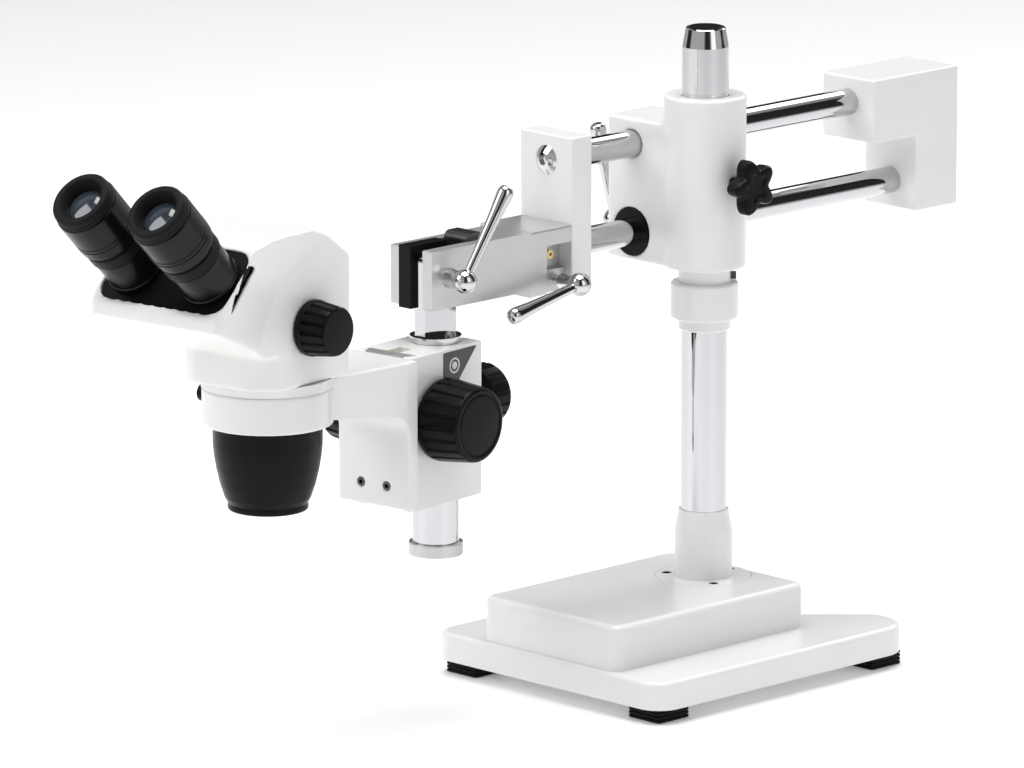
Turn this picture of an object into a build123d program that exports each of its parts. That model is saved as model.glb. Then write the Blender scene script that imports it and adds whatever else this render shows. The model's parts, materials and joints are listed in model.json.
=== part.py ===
from build123d import *
import math
import os

# Stereo microscope on a double-rod boom stand.
# Millimetres, +Z up. X is to the user's right, the user sits at -Y.
# Lengths are laid out from the column's axis, on the plane that the feet stand on. The finished parts are then
# moved along Y, so that the origin is the middle of the ground that the whole object covers.
# The arm, the post, the focus block and the head are drawn in the position they are parked in.

MIDDLE_Y = -137.8          # Y, from the column's axis, of the middle of the whole object

# ---------------------------------------------------------------- fits
RUN = 0.05                 # radial clearance of a running or sliding fit
GAP = 0.3                  # air between faces that pass each other

# ---------------------------------------------------------------- base
FOOT_SIZE = 30.0
FOOT_HEIGHT = 10.0
PLATE_HALF_WIDTH = 110.0
PLATE_FRONT = -155.3       # Y of the front edge
PLATE_REAR = 98.0          # Y of the two rear tips
PLATE_THICKNESS = 19.4
TAIL_FLOOR = 48.0          # Y of the bottom of the rear cut-out
TAIL_HALF_WIDTH = 24.0
TIP_WIDTH = 36.0
PLATE_TOP = FOOT_HEIGHT + PLATE_THICKNESS
FOOT_INSET = 22.0          # foot centre from the plate's edges
BLOCK_HALF_WIDTH = 65.6
BLOCK_FRONT = -151.0
BLOCK_REAR = 35.3
BLOCK_HEIGHT = 31.4
BLOCK_TOP = PLATE_TOP + BLOCK_HEIGHT

# ---------------------------------------------------------------- column
COLUMN_R = 16.0
COLUMN_WALL = 4.0
COLUMN_TOP = 445.0
COLUMN_SEAT = 16.0         # Z of the column's lower end, in the base
COLUMN_NOSE_TAPER = 2.2    # how much the radius falls towards the top
COLUMN_NOSE_R = COLUMN_R - COLUMN_NOSE_TAPER
COLUMN_NOSE = 13.0         # length of the conical top
CAP_DEPTH = 8.0
CAP_PROUD = 0.6
FLANGE_RIM = 17.3
FLANGE_R = COLUMN_R + FLANGE_RIM
FLANGE_THICKNESS = 4.0
FLANGE_PCD_R = FLANGE_R - 7.3
FLANGE_SCREW_R = 3.4
SLEEVE_WALL = 4.0
SLEEVE_TOP_WALL = 1.2
SLEEVE_R = COLUMN_R + SLEEVE_WALL
SLEEVE_TOP_R = COLUMN_R + SLEEVE_TOP_WALL
SLEEVE_STRAIGHT = 33.0
SLEEVE_HEIGHT = 47.6

# ---------------------------------------------------------------- carriage and collar
CARRIAGE_BOTTOM = 279.0
CARRIAGE_TOP = 398.5
BOSS_WALL = 12.2
BOSS_R = COLUMN_R + BOSS_WALL
SLAB_LEFT = -72.5          # X of the slab's free side
SLAB_HALF_DEPTH = 23.0
SLAB_TOP = 378.0
COLLAR_WALL = 7.2
COLLAR_NECK_WALL = 2.0
COLLAR_FOOT_WALL = 1.9
COLLAR_R = COLUMN_R + COLLAR_WALL
COLLAR_NECK_R = COLUMN_R + COLLAR_NECK_WALL
COLLAR_FOOT_R = COLUMN_R + COLLAR_FOOT_WALL
COLLAR_NECK = 10.7
COLLAR_BODY = 24.8
COLLAR_FOOT = 8.2
COLLAR_TOP = CARRIAGE_BOTTOM - GAP
COLLAR_SCREW_R = 2.7
COLLAR_SCREW_ANGLE = 45.0
STAR_Z = 340.2
STAR_STAND_OFF = 9.8       # from the boss to the knob's inner face
STAR_BACK = BOSS_R + STAR_STAND_OFF
STAR_THICKNESS = 12.0
STAR_CORE_R = 13.4
STAR_LOBE_R = 6.3
STAR_LOBE_PCD_R = 13.6
STAR_STUD_R = 4.0

# ---------------------------------------------------------------- boom
ROD_R = 9.5
ROD_X = -48.5             # clear of the carriage's boss
LOWER_ROD_Z = 298.8
ROD_SPACING = 61.7
UPPER_ROD_Z = LOWER_ROD_Z + ROD_SPACING
BUSH_WALL = 7.2
BUSH_R = ROD_R + BUSH_WALL
BUSH_LENGTH = 7.0
END_HALF_WIDTH = 24.9
END_TOP = 378.5
END_BOTTOM = 279.2
FRONT_FACE = -105.0
FRONT_THICKNESS = 19.2
WEIGHT_FRONT = 194.0       # Y of the upper block's front
WEIGHT_STEP = 237.8        # Y of the lower block's front
WEIGHT_REAR = 280.5
WEIGHT_SHELF = 333.5       # Z of the upper block's underside
ROD_DEPTH = 24.0           # how far a rod goes into the counterweight
END_SCREW_R = 10.2
END_SCREW_DOME = 4.0

# ---------------------------------------------------------------- arm
ARM_HEIGHT = 40.4
ARM_Z = LOWER_ROD_Z
PLATE_T = 9.0
NEAR_FACE = -23.8          # X of the arm's right face
ARM_JOINT_Y = -144.0       # Y where the plates meet the clamp block
ARM_FRONT = -237.6
TONGUE_T = 9.8
TONGUE_X = -38.0
TILT_Y = -220.5            # Y of the tilt bolt and of the post
CLAMP_DROP = 4.8           # clamp block below the arm's lower edge
FAR_FACE = -63.5
SLIT = 2.0
LUG_SCREW_Z = 281.4
LUG_SCREW_Y = -114.5
LUG_SCREW_R = 3.2
NOTCH_Y = -128.7
NOTCH_DEPTH = 12.0
NOTCH_LOW_DEPTH = 6.0
NOTCH_TOP = 307.6
NOTCH_SHELF = 289.0
BRASS_Y = -116.5
BRASS_R = 3.2
BOLT_R = 5.0
SPACER_END = -176.0        # Y where the web between the plates ends
STOP_FRONT = -196.5
STOP_REAR = -179.0
STOP_TOP = 324.0
PAD_OVERHANG = 1.2

# ---------------------------------------------------------------- lock levers
LEVER_LENGTH = 65.0
LEVER_HUB_R = 8.25
LEVER_END_R = 5.8
LEVER_THIN_R = 3.3
LEVER_THICK_R = 4.9
LEVER_TILT = 2.7           # degrees that a handle leans away from its screw's plane
LEVER_STAND_OFF = 14.0

# ---------------------------------------------------------------- post
POST_R = 16.0
TONGUE_HALF = 14.6
TONGUE_TOP = 317.5
POST_SHOULDER = 258.4
POST_COLLAR_STEP = 1.6
POST_COLLAR_R = POST_R + POST_COLLAR_STEP
POST_BOTTOM = 107.0
POST_FLANGE_STEP = 2.6
POST_FLANGE_R = POST_R + POST_FLANGE_STEP
POST_FLANGE_T = 9.0

# ---------------------------------------------------------------- focus block, in its own turned frame
FOCUS_YAW = 6.5
HOUSE_HALF = 24.2
HOUSE_FRONT = -54.8
HOUSE_REAR = 20.0
HOUSE_BOTTOM = 148.7
HOUSE_TOP = 254.1
POST_SLEEVE_WALL = 1.5
POST_SLEEVE_R = POST_R + POST_SLEEVE_WALL
PINION_Y = -26.4
PINION_Z = 208.6
PINION_SHAFT_R = 4.0
PINION_TEETH = 14
MODULE = 1.0
PINION_PITCH_R = PINION_TEETH * MODULE / 2
PINION_WIDTH = 11.0
RACK_WIDTH = 10.0
RACK_BACK = -44.4
DOVETAIL_MOUTH = 16.0
DOVETAIL_ROOT = 20.0
DOVETAIL_BACK = -45.0
FOCUS_KNOB_BACK = 26.0
FOCUS_KNOB_LENGTH = 34.0
FOCUS_KNOB_R = 28.4
FOCUS_KNOB_TIP_R = 25.4
CLAMP_KNOB_R = 21.5
CLAMP_KNOB_Y = 37.0
CLAMP_KNOB_LENGTH = 20.0
CLAMP_STUD_R = 4.0
BRACKET_HALF = 30.7
BRACKET_FRONT = -66.0
BRACKET_BACK = -55.3
BRACKET_BOTTOM = 152.3
BRACKET_TOP = 254.0
BRACKET_ARM_LOW = 216.0
BRACKET_RING_LOW = 227.0
BRACKET_SCREW_X = 11.1
BRACKET_SCREW_Z = 167.0
BRACKET_SCREW_R = 3.2
RING_REACH = 175.0         # post axis to ring axis
RING_R = 43.5
RING_BORE_R = 38.0
RING_BOTTOM = 228.7
RING_TOP = 253.7
ARM_NECK_HALF = 21.0       # half width where the bracket's arm meets the ring
RING_SCREW_R = 2.5

# ---------------------------------------------------------------- head, in the ring's frame
HEAD_FLANGE_R = 44.0
HEAD_BOTTOM = 260.5
HEAD_BACK_R = 54.2
HEAD_WAIST = 41.0          # half width beside the zoom knobs
HEAD_NOSE_HALF = 56.0
NECK_TOP = 284.0
NECK_STEP = 0.5             # the neck stands in from the casing above it
NECK_FRONT = 49.5          # how far the neck reaches forward of the ring's axis
FLANK_Y = 30.0             # centre of the hollow cone that scoops out each flank
FLANK_Z = 270.0
FLANK_R = 89.0
FLANK_SLOPE = 0.25
FLANK_DEPTH = 24.0
HEAD_WALL = 3.0
HEAD_FLOOR_R = 39.5        # opening in the casing's floor
HEAD_BASE_BORE_R = 28.0
GUIDE_ROD_R = 2.5
GUIDE_ROD_FOOT_R = 4.5
BARREL_TOP = 229.0
BARREL_BOTTOM = 170.5
AUX_THREAD_R = 24.0
AUX_THREAD_DEPTH = 4.5
LENS_R = 22.0
PANEL_Y = -92.0            # centre of the eyepiece panel
PANEL_Z = 342.0
EYE_ANGLE = 45.0
PANEL_HALF = 53.0
PANEL_LOW = -25.0
PANEL_HIGH = 25.0
PANEL_T = 3.0
ZOOM_Y = -4.7
ZOOM_Z = 299.0
ZOOM_SHAFT_R = 3.0
ZOOM_DRUM_R = 3.5
ZOOM_KNOB_BACK = 41.8
ZOOM_KNOB_LENGTH = 23.7
ZOOM_KNOB_R = 19.0
ZOOM_KNOB_TIP_R = 16.4
ZOOM_TRAVEL = 8.0
CARRIER_Z = 276.0

# ---------------------------------------------------------------- eyetubes and eyepieces
EYE_HALF_SPACING = 32.0
EYE_TRAVEL = 5.0
EYETUBE_R = 20.0
EYETUBE_LENGTH = 28.0
EYETUBE_LIFT = 2.9         # full width starts above the casing's rim
EYETUBE_FOOT_R = 15.5
EYETUBE_SPIGOT_R = 11.0
EYEPIECE_BARREL_R = 15.0
DIOPTER_R = 20.6
DIOPTER_LENGTH = 9.6
EYEPIECE_R = 21.8
EYEPIECE_BASE = 38.4
EYEPIECE_END = 72.0
EYECUP_END = 80.0
EYE_LENS_R = 12.4


# ================================================================ helpers
def cyl(radius, start, length, axis="Z"):
    """Cylinder that begins at start and runs length along an axis."""
    turn = {"X": Rot(0, 90, 0), "Y": Rot(-90, 0, 0), "Z": Rot(0, 0, 0)}[axis]
    return Pos(*start) * turn * Cylinder(radius, length, align=(Align.CENTER, Align.CENTER, Align.MIN))


def cone(radius_a, radius_b, start, length, axis="Z"):
    turn = {"X": Rot(0, 90, 0), "-X": Rot(0, -90, 0), "Y": Rot(-90, 0, 0), "Z": Rot(0, 0, 0)}[axis]
    return Pos(*start) * turn * Cone(radius_a, radius_b, length, align=(Align.CENTER, Align.CENTER, Align.MIN))


def block(x0, x1, y0, y1, z0, z1):
    centre = Pos((x0 + x1) / 2, (y0 + y1) / 2, (z0 + z1) / 2)
    return centre * Box(abs(x1 - x0), abs(y1 - y0), abs(z1 - z0))


def soften(body, radius, keep):
    """Fillet the edges that keep() picks, or return the body as it is if it picks none."""
    edges = body.edges().filter_by(keep)
    return fillet(edges, radius) if edges else body


def turned(points):
    """Solid of revolution about Z of a closed outline given as (radius, z)."""
    face = make_face(Plane.XZ * Polyline(*points, close=True))
    return revolve(face, Axis.Z, 360)


def side_profile(points, half_width):
    """Outline given as (y, z), made half_width thick to each side of X = 0."""
    outline = Polyline(*[(0, y, z) for y, z in points], close=True)
    return extrude(make_face(outline), half_width, dir=(1, 0, 0), both=True)


def fluted_knob(radius, tip_radius, length, flutes, groove):
    """Tapered knob along +Z with grooves round it and a shallow ring recess in its outer face."""
    knob = Cone(radius, tip_radius, length, align=(Align.CENTER, Align.CENTER, Align.MIN))
    knob = fillet(knob.edges().sort_by(Axis.Z)[-1], 2.0)
    lean = math.degrees(math.atan2(radius - tip_radius, length))
    tool = Rot(0, -lean, 0) * Box(2 * groove, 2 * groove, length * 1.02, align=(Align.CENTER, Align.CENTER, Align.MIN))
    for i in range(flutes):
        knob -= Rot(0, 0, 360 * i / flutes) * Pos(radius + groove * 0.35, 0, length * 0.16) * tool
    return knob


def lock_lever(stud_length, stud_radius):
    """Ball lever whose screw runs along -Z from the hub ball at the origin; the handle lies along +X."""
    hub = Sphere(LEVER_HUB_R)
    neck = cone(stud_radius + 2.2, stud_radius + 1.4, (0, 0, -LEVER_STAND_OFF), LEVER_STAND_OFF)
    screw = cyl(stud_radius, (0, 0, -stud_length), stud_length)
    lean = Rot(0, 90 - LEVER_TILT, 0)
    handle = lean * Cone(LEVER_THIN_R, LEVER_THICK_R, LEVER_LENGTH, align=(Align.CENTER, Align.CENTER, Align.MIN))
    ball = lean * Pos(0, 0, LEVER_LENGTH) * Sphere(LEVER_END_R)
    return hub + neck + screw + handle + ball


# frames of the pieces that are turned in plan
FOCUS = Pos(TONGUE_X, TILT_Y, 0) * Rot(0, 0, FOCUS_YAW)
HEAD = FOCUS * Pos(0, -RING_REACH, 0)
PANEL = HEAD * Pos(0, PANEL_Y, PANEL_Z) * Rot(EYE_ANGLE, 0, 0)

parts = {}


# ================================================================ base and column
def base_plate():
    right = [
        (PLATE_HALF_WIDTH, PLATE_FRONT),
        (PLATE_HALF_WIDTH, PLATE_REAR),
        (PLATE_HALF_WIDTH - TIP_WIDTH, PLATE_REAR),
        (TAIL_HALF_WIDTH, TAIL_FLOOR),
    ]
    left = [(-x, y) for x, y in reversed(right)]
    radii = [18, 28, 10, 26, 26, 10, 28, 18]
    outline = FilletPolyline(*(right + left), radius=radii, close=True)
    plate = Pos(0, 0, FOOT_HEIGHT) * extrude(make_face(outline), PLATE_THICKNESS)
    plate = fillet(plate.edges().group_by(Axis.Z)[-1], 4.0)
    return plate - cyl(COLUMN_R, (0, 0, COLUMN_SEAT), PLATE_TOP)


def base_block():
    body = block(-BLOCK_HALF_WIDTH, BLOCK_HALF_WIDTH, BLOCK_FRONT, BLOCK_REAR, PLATE_TOP, BLOCK_TOP)
    body = fillet(body.edges().filter_by(Axis.Z), 10.0)
    body = fillet(body.edges().group_by(Axis.Z)[-1], 5.0)
    body -= cyl(COLUMN_R, (0, 0, PLATE_TOP - 1), BLOCK_HEIGHT + 2)
    body -= cyl(FLANGE_R + GAP, (0, 0, BLOCK_TOP - FLANGE_THICKNESS), FLANGE_THICKNESS + 1)
    for angle in (-30, 90, 210):
        body -= Rot(0, 0, angle) * cyl(FLANGE_SCREW_R * 0.6, (FLANGE_PCD_R, 0, BLOCK_TOP - 16), 16)
    return body


def column_flange():
    disc = cyl(FLANGE_R, (0, 0, BLOCK_TOP - FLANGE_THICKNESS), FLANGE_THICKNESS)
    disc -= cyl(COLUMN_R, (0, 0, BLOCK_TOP - 10), 20)
    for angle in (-30, 90, 210):
        disc -= Rot(0, 0, angle) * cyl(FLANGE_SCREW_R, (FLANGE_PCD_R, 0, BLOCK_TOP - 2.4), 5)
        disc -= Rot(0, 0, angle) * cyl(FLANGE_SCREW_R * 0.6, (FLANGE_PCD_R, 0, BLOCK_TOP - 10), 12)
    return disc


def flange_screws():
    screw = cyl(FLANGE_SCREW_R, (FLANGE_PCD_R, 0, BLOCK_TOP - 2.4), 2.2)
    screw += cyl(FLANGE_SCREW_R * 0.6, (FLANGE_PCD_R, 0, BLOCK_TOP - 16), 15)
    screw -= Pos(FLANGE_PCD_R, 0, BLOCK_TOP - 1.6) * extrude(RegularPolygon(1.9, 6), 3)
    return Compound([Rot(0, 0, angle) * screw for angle in (-30, 90, 210)])


def column_sleeve():
    return turned([
        (COLUMN_R, BLOCK_TOP),
        (SLEEVE_R, BLOCK_TOP),
        (SLEEVE_R, BLOCK_TOP + SLEEVE_STRAIGHT),
        (SLEEVE_TOP_R, BLOCK_TOP + SLEEVE_HEIGHT),
        (COLUMN_R, BLOCK_TOP + SLEEVE_HEIGHT),
    ])


def column():
    bore = COLUMN_R - COLUMN_WALL
    return turned([
        (bore, COLUMN_SEAT),
        (COLUMN_R, COLUMN_SEAT),
        (COLUMN_R, COLUMN_TOP - COLUMN_NOSE),
        (COLUMN_NOSE_R, COLUMN_TOP - 0.6),
        (COLUMN_NOSE_R - 0.6, COLUMN_TOP),
        (bore, COLUMN_TOP),
    ])


def column_cap():
    bore = COLUMN_R - COLUMN_WALL
    plug = cyl(bore, (0, 0, COLUMN_TOP - CAP_DEPTH), CAP_DEPTH + CAP_PROUD)
    return fillet(plug.edges().sort_by(Axis.Z)[-1], 0.5)


foot_x = PLATE_HALF_WIDTH - FOOT_INSET
foot_ys = (PLATE_FRONT + FOOT_INSET, PLATE_REAR - FOOT_INSET)
foot = Box(FOOT_SIZE, FOOT_SIZE, FOOT_HEIGHT, align=(Align.CENTER, Align.CENTER, Align.MIN))
foot = fillet(foot.edges().filter_by(Axis.Z), 2.5)
parts["base_plate"] = base_plate()
parts["base_block"] = base_block()
parts["rubber_feet"] = Compound([Pos(x, y, 0) * foot for x in (-foot_x, foot_x) for y in foot_ys])
parts["column_flange"] = column_flange()
parts["flange_screws"] = flange_screws()
parts["column_sleeve"] = column_sleeve()
parts["column"] = column()
parts["column_cap"] = column_cap()


# ================================================================ collar and carriage
def safety_collar():
    top = COLLAR_TOP
    shoulder = top - COLLAR_NECK
    waist = shoulder - COLLAR_BODY
    bottom = waist - COLLAR_FOOT
    bore = COLUMN_R + RUN
    collar = turned([
        (bore, bottom),
        (COLLAR_FOOT_R - 0.8, bottom),
        (COLLAR_FOOT_R, bottom + 1.2),
        (COLLAR_FOOT_R, waist),
        (COLLAR_R - 1.0, waist),
        (COLLAR_R, waist + 1.0),
        (COLLAR_R, shoulder - 1.0),
        (COLLAR_R - 1.0, shoulder),
        (COLLAR_NECK_R, shoulder),
        (COLLAR_NECK_R, top),
        (bore, top),
    ])
    hole = Rot(0, 0, COLLAR_SCREW_ANGLE) * cyl(COLLAR_SCREW_R * 0.7, (bore - 1, 0, collar_screw_z()), 6, "X")
    return collar - hole


def collar_screw_z():
    return COLLAR_TOP - COLLAR_NECK / 2 - 1.0


def collar_screw():
    z = collar_screw_z()
    start = COLUMN_R + RUN + GAP
    screw = cyl(COLLAR_SCREW_R * 0.7, (start, 0, z), COLLAR_NECK_R - start, "X")
    screw += cyl(COLLAR_SCREW_R, (COLLAR_NECK_R + 0.05, 0, z), 3.6, "X")
    return Rot(0, 0, COLLAR_SCREW_ANGLE) * screw


def carriage():
    boss = cyl(BOSS_R, (0, 0, CARRIAGE_BOTTOM), CARRIAGE_TOP - CARRIAGE_BOTTOM)
    slab = block(SLAB_LEFT, 0, -SLAB_HALF_DEPTH, SLAB_HALF_DEPTH, CARRIAGE_BOTTOM, SLAB_TOP)
    slab = soften(slab, 4.0, lambda e: abs(e.center().X - SLAB_LEFT) < 0.1 and e.length > 60)
    body = boss + slab
    body -= cyl(COLUMN_R + RUN, (0, 0, CARRIAGE_BOTTOM - 1), 200)
    for z in (LOWER_ROD_Z, UPPER_ROD_Z):
        body -= cyl(ROD_R + RUN, (ROD_X, -SLAB_HALF_DEPTH - 1, z), 2 * SLAB_HALF_DEPTH + 2, "Y")
    for y in (-SLAB_HALF_DEPTH, SLAB_HALF_DEPTH - BUSH_LENGTH):
        body -= cyl(BUSH_R, (ROD_X, y, LOWER_ROD_Z), BUSH_LENGTH, "Y")
    body -= cyl(STAR_STUD_R + RUN, (COLUMN_R - 2, 0, STAR_Z), 20, "X")
    body -= cyl(LUG_SCREW_R + RUN, (SLAB_LEFT - 1, 0, LOWER_ROD_Z), 20, "X")
    return body


def rod_bushes():
    ring = cyl(BUSH_R, (ROD_X, 0, LOWER_ROD_Z), BUSH_LENGTH, "Y")
    ring -= cyl(ROD_R + RUN, (ROD_X, -1, LOWER_ROD_Z), BUSH_LENGTH + 2, "Y")
    return Compound([Pos(0, y, 0) * ring for y in (-SLAB_HALF_DEPTH, SLAB_HALF_DEPTH - BUSH_LENGTH)])


def star_knob():
    outline = Circle(STAR_CORE_R)
    for i in range(5):
        outline += Rot(0, 0, 90 + 72 * i) * Pos(STAR_LOBE_PCD_R, 0) * Circle(STAR_LOBE_R)
    knob = extrude(outline, STAR_THICKNESS)
    knob = fillet(knob.edges().group_by(Axis.Z)[-1], 1.2)
    knob += cyl(8.0, (0, 0, -3.0), 3.0)
    knob += cyl(STAR_STUD_R, (0, 0, COLUMN_R + RUN + GAP - STAR_BACK), STAR_BACK - COLUMN_R - RUN - GAP)
    return Pos(STAR_BACK, 0, STAR_Z) * Rot(0, 90, 0) * knob


def boom_lock_lever():
    hub_x = SLAB_LEFT - LEVER_STAND_OFF
    reach = hub_x - (ROD_X - ROD_R - GAP)
    lever = lock_lever(abs(reach), LUG_SCREW_R)
    return Pos(hub_x, 0, LOWER_ROD_Z) * Rot(0, 0, 180) * Rot(0, 90, 0) * Rot(0, 0, 180 - 12) * lever


parts["safety_collar"] = safety_collar()
parts["collar_screw"] = collar_screw()
parts["carriage"] = carriage()
parts["rod_bushes"] = rod_bushes()
parts["star_knob"] = star_knob()
parts["boom_lock_lever"] = boom_lock_lever()


# ================================================================ boom
ROD_NOSE = 4.0             # how far short of the end block's face the upper rod stops
LOWER_ROD_FRONT = ARM_JOINT_Y + 3.0


def rod(front, rear, z):
    shaft = cyl(ROD_R, (ROD_X, front, z), rear - front, "Y")
    return chamfer(shaft.edges().filter_by(GeomType.CIRCLE), 0.8)


def front_end_block():
    body = block(ROD_X - END_HALF_WIDTH, ROD_X + END_HALF_WIDTH, FRONT_FACE, FRONT_FACE + FRONT_THICKNESS,
                 END_BOTTOM, END_TOP)
    body = fillet(body.edges(), 1.2)
    body -= cyl(ROD_R, (ROD_X, FRONT_FACE + ROD_NOSE, UPPER_ROD_Z), FRONT_THICKNESS, "Y")
    body -= cyl(ROD_R, (ROD_X, FRONT_FACE - 1, LOWER_ROD_Z), FRONT_THICKNESS + 2, "Y")
    body -= cyl(4.0, (ROD_X, FRONT_FACE - 1, UPPER_ROD_Z), 8, "Y")
    return body


def counterweight():
    x0 = ROD_X - END_HALF_WIDTH
    x1 = ROD_X + END_HALF_WIDTH
    body = block(x0, x1, WEIGHT_STEP, WEIGHT_REAR, END_BOTTOM, END_TOP)
    body += block(x0, x1, WEIGHT_FRONT, WEIGHT_STEP + 1, WEIGHT_SHELF, END_TOP)
    body = fillet(body.edges(), 1.6)
    body -= cyl(ROD_R, (ROD_X, WEIGHT_FRONT - 1, UPPER_ROD_Z), ROD_DEPTH + 1, "Y")
    body -= cyl(ROD_R, (ROD_X, WEIGHT_STEP - 1, LOWER_ROD_Z), ROD_DEPTH + 1, "Y")
    body -= cyl(4.0, (ROD_X, WEIGHT_FRONT + ROD_DEPTH - 1, UPPER_ROD_Z), 90, "Y")
    body -= cyl(4.0, (ROD_X, WEIGHT_STEP + ROD_DEPTH - 1, LOWER_ROD_Z), 90, "Y")
    return body


def domed_screw(length):
    """Cap screw along +Z whose domed head stands on Z = 0, with a hexagon socket."""
    sphere_r = (END_SCREW_R ** 2 + END_SCREW_DOME ** 2) / (2 * END_SCREW_DOME)
    head = Pos(0, 0, END_SCREW_DOME - sphere_r) * Sphere(sphere_r)
    head = head & Cylinder(END_SCREW_R, END_SCREW_DOME, align=(Align.CENTER, Align.CENTER, Align.MIN))
    head -= Pos(0, 0, END_SCREW_DOME - 2.6) * extrude(RegularPolygon(3.6, 6), 4)
    return head + cyl(4.0, (0, 0, -length), length + 0.5)


def rod_end_screws():
    front = Pos(ROD_X, FRONT_FACE, UPPER_ROD_Z) * Rot(90, 0, 0) * domed_screw(ROD_NOSE)
    upper = WEIGHT_REAR - (WEIGHT_FRONT + ROD_DEPTH)
    lower = WEIGHT_REAR - (WEIGHT_STEP + ROD_DEPTH)
    rear_upper = Pos(ROD_X, WEIGHT_REAR, UPPER_ROD_Z) * Rot(-90, 0, 0) * domed_screw(upper)
    rear_lower = Pos(ROD_X, WEIGHT_REAR, LOWER_ROD_Z) * Rot(-90, 0, 0) * domed_screw(lower)
    return Compound([front, rear_upper, rear_lower])


parts["upper_rod"] = rod(FRONT_FACE + ROD_NOSE, WEIGHT_FRONT + ROD_DEPTH, UPPER_ROD_Z)
parts["lower_rod"] = rod(LOWER_ROD_FRONT, WEIGHT_STEP + ROD_DEPTH, LOWER_ROD_Z)
parts["front_end_block"] = front_end_block()
parts["counterweight"] = counterweight()
parts["rod_end_screws"] = rod_end_screws()


# ================================================================ arm
ARM_LOW = ARM_Z - ARM_HEIGHT / 2
ARM_HIGH = ARM_Z + ARM_HEIGHT / 2
WEB_NEAR = NEAR_FACE - PLATE_T
WEB_FAR = FAR_FACE + PLATE_T
CLAMP_FAR = 2 * ROD_X - NEAR_FACE
CLAMP_REAR = FRONT_FACE - GAP
PLATE_SCREW_YS = (-152.0, -167.0)
PLATE_SCREW_R = 3.0


def clamp_block():
    body = block(CLAMP_FAR, NEAR_FACE, ARM_JOINT_Y, CLAMP_REAR, ARM_LOW - CLAMP_DROP, ARM_HIGH)
    body = fillet(body.edges().filter_by(Axis.Y), 1.5)
    body += block(WEB_FAR, WEB_NEAR, SPACER_END, ARM_JOINT_Y + 1, ARM_LOW, ARM_HIGH)
    body -= cyl(ROD_R + RUN, (ROD_X, LOWER_ROD_FRONT - 0.5, LOWER_ROD_Z), 60, "Y")
    body -= block(ROD_X - SLIT / 2, ROD_X + SLIT / 2, ARM_JOINT_Y - 1, CLAMP_REAR + 1,
                  ARM_LOW - CLAMP_DROP - 1, LOWER_ROD_Z - ROD_R / 2)
    body -= block(NEAR_FACE - NOTCH_DEPTH, NEAR_FACE + 1, NOTCH_Y, CLAMP_REAR + 1, NOTCH_SHELF, NOTCH_TOP)
    body -= block(NEAR_FACE - NOTCH_LOW_DEPTH, NEAR_FACE + 1, NOTCH_Y, CLAMP_REAR + 1,
                  ARM_LOW - CLAMP_DROP - 1, NOTCH_SHELF + 0.01)
    body -= cyl(LUG_SCREW_R + RUN, (CLAMP_FAR + 6, LUG_SCREW_Y, LUG_SCREW_Z), 60, "X")
    body -= cyl(BRASS_R * 0.7, (ROD_X + ROD_R - 1, BRASS_Y, ARM_Z), 12, "X")
    for y in PLATE_SCREW_YS:
        body -= cyl(PLATE_SCREW_R, (WEB_FAR - 1, y, ARM_Z), 30, "X")
    return body


def arm_plate(x0, x1):
    plate = block(x0, x1, ARM_FRONT, ARM_JOINT_Y, ARM_LOW, ARM_HIGH)
    plate = fillet(plate.edges().filter_by(Axis.X), 1.2)
    return plate - cyl(BOLT_R + RUN, (x0 - 1, TILT_Y, ARM_Z), PLATE_T + 2, "X")


def near_arm_plate():
    plate = arm_plate(WEB_NEAR, NEAR_FACE)
    for y in PLATE_SCREW_YS:
        plate -= cyl(PLATE_SCREW_R, (WEB_NEAR - 1, y, ARM_Z), 6, "X")
    return plate


def far_arm_plate():
    plate = arm_plate(FAR_FACE, WEB_FAR)
    for y in PLATE_SCREW_YS:
        plate -= cyl(PLATE_SCREW_R, (FAR_FACE - 1, y, ARM_Z), PLATE_T + 2, "X")
        plate -= cyl(PLATE_SCREW_R * 1.7, (FAR_FACE - 1, y, ARM_Z), 5, "X")
    return plate


def arm_plate_screws():
    screws = []
    for y in PLATE_SCREW_YS:
        screw = cyl(PLATE_SCREW_R * 1.7, (FAR_FACE + 0.4, y, ARM_Z), 3.6, "X")
        screw += cyl(PLATE_SCREW_R, (FAR_FACE + 3, y, ARM_Z), WEB_NEAR + 4 - FAR_FACE - 3, "X")
        screw -= Pos(FAR_FACE, y, ARM_Z) * Rot(0, 90, 0) * extrude(RegularPolygon(2.8, 6), 2.8)
        screws.append(screw)
    return Compound(screws)


def friction_pad():
    pad = block(WEB_FAR, TONGUE_X - TONGUE_T / 2 - GAP, ARM_FRONT - PAD_OVERHANG, TILT_Y + 15.5,
                ARM_LOW - 1.0, ARM_HIGH + 1.3)
    return pad - cyl(BOLT_R + RUN, (WEB_FAR - 1, TILT_Y, ARM_Z), 20, "X")


def tilt_stop():
    stop = block(WEB_FAR, WEB_NEAR, STOP_FRONT, STOP_REAR, ARM_Z + 6, STOP_TOP)
    return soften(stop, 5.0, lambda e: abs(e.center().Z - STOP_TOP) < 0.1 and e.length > 19)


def clamp_set_screw():
    face = NEAR_FACE - NOTCH_DEPTH
    screw = cyl(BRASS_R * 0.7, (ROD_X + ROD_R + GAP, BRASS_Y, ARM_Z), face - ROD_X - ROD_R - GAP + 0.5, "X")
    screw += cyl(BRASS_R, (face, BRASS_Y, ARM_Z), 3.0, "X")
    return screw - cyl(1.3, (face + 1.2, BRASS_Y, ARM_Z), 3, "X")


def roll_lock_lever():
    hub_x = NEAR_FACE + LEVER_STAND_OFF + 3.0
    reach = hub_x - (CLAMP_FAR + 7)
    lever = lock_lever(reach, LUG_SCREW_R)
    return Pos(hub_x, LUG_SCREW_Y, LUG_SCREW_Z) * Rot(0, 90, 0) * Rot(0, 0, -80) * lever


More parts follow.
